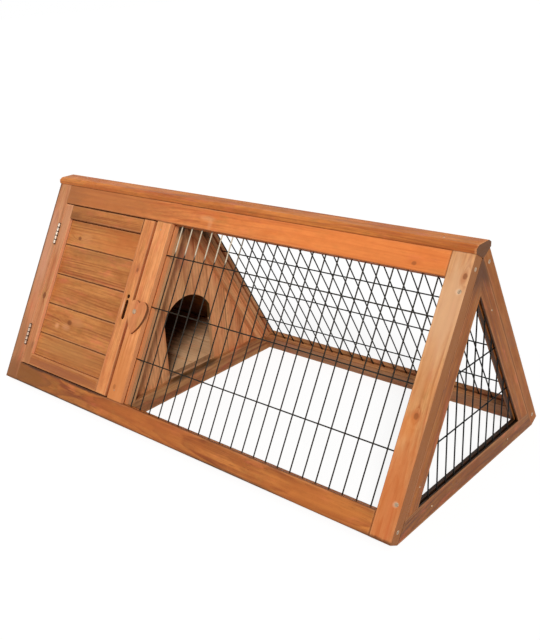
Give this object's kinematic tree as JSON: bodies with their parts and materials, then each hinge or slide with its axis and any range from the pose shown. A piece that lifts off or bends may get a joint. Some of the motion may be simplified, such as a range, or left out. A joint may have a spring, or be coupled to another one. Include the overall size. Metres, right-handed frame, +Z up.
{
  "type": "outdoor rabbit run",
  "caption": "Triangular wooden run for a rabbit: a boarded shelter with a hinged side door and a turn button, an arched way through, and an open wire bay under a ridge cap.",
  "frame": {"origin": "middle of the footprint, on the ground that the end frames' bottom rails stand on", "axes": "+X along the ridge from the boarded shelter to the open wire end, +Y from the panel with the door to the rear panel, +Z up"},
  "size_m": [1.182, 0.5718, 0.4808],
  "materials": {
    "frame_timber": "orange-brown stained planed softwood",
    "pale_timber": "lighter stained planed softwood",
    "inner_timber": "darker stained planed softwood",
    "wall_timber": "stained planed boards",
    "floor_timber": "tan stained planed boards",
    "dark_wire": "dark coated welded wire",
    "hinge_steel": "zinc plated",
    "fixing_steel": "zinc plated"
  },
  "bodies": {
    "frame": {"front_left_post": "frame_timber", "front_right_post": "pale_timber", "front_top_rail": "frame_timber", "front_bottom_rail": "frame_timber", "front_jamb": "pale_timber", "rear_left_post": "frame_timber", "rear_right_post": "frame_timber", "rear_top_rail": "frame_timber", "rear_bottom_rail": "frame_timber", "rear_middle_post": "frame_timber", "ridge_cap": "frame_timber", "right_front_leg": "inner_timber", "right_rear_leg": "inner_timber", "right_bottom_rail": "inner_timber", "left_front_leg": "inner_timber", "left_rear_leg": "inner_timber", "left_bottom_rail": "inner_timber", "left_wall_board_1": "wall_timber", "left_wall_board_2": "wall_timber", "left_wall_board_3": "wall_timber", "left_wall_board_4": "wall_timber", "rear_wall_board_1": "wall_timber", "rear_wall_board_2": "wall_timber", "rear_wall_board_3": "wall_timber", "rear_wall_board_4": "wall_timber", "rear_wall_board_5": "wall_timber", "partition_front_leg": "inner_timber", "partition_rear_leg": "inner_timber", "partition_bottom_rail": "inner_timber", "partition_front_board": "wall_timber", "partition_middle_board": "wall_timber", "partition_rear_board": "wall_timber", "floor_left_bearer": "floor_timber", "floor_right_bearer": "floor_timber", "floor_board_1": "floor_timber", "floor_board_2": "floor_timber", "floor_board_3": "floor_timber", "floor_board_4": "floor_timber", "door_stop": "inner_timber", "hinge_post_leaves": "hinge_steel", "hinge_pins": "hinge_steel", "hinge_post_screws": "fixing_steel", "turn_button_screw": "fixing_steel", "front_mesh": "dark_wire", "rear_mesh": "dark_wire", "end_mesh": "dark_wire", "frame_screws": "fixing_steel", "frame_nails": "fixing_steel"},
    "door": {"door_left_stile": "pale_timber", "door_right_stile": "pale_timber", "door_top_rail": "frame_timber", "door_bottom_rail": "frame_timber", "door_board_1": "wall_timber", "door_board_2": "wall_timber", "door_board_3": "wall_timber", "door_board_4": "wall_timber", "door_board_5": "wall_timber", "hinge_door_leaves": "hinge_steel", "hinge_door_screws": "fixing_steel"},
    "turn_button": {"turn_button": "pale_timber"}
  },
  "joints": [
    {"name": "door_swing", "type": "hinge", "parent": "frame", "child": "door", "pos_m": [-0.5435, -0.16025, 0.2383], "axis": [0, -0.5, -0.866], "range_deg": [0, 180]},
    {"name": "latch_turn", "type": "hinge", "parent": "frame", "child": "turn_button", "pos_m": [-0.18, -0.15739, 0.23665], "axis": [0, -0.866, 0.5], "continuous": true}
  ]
}
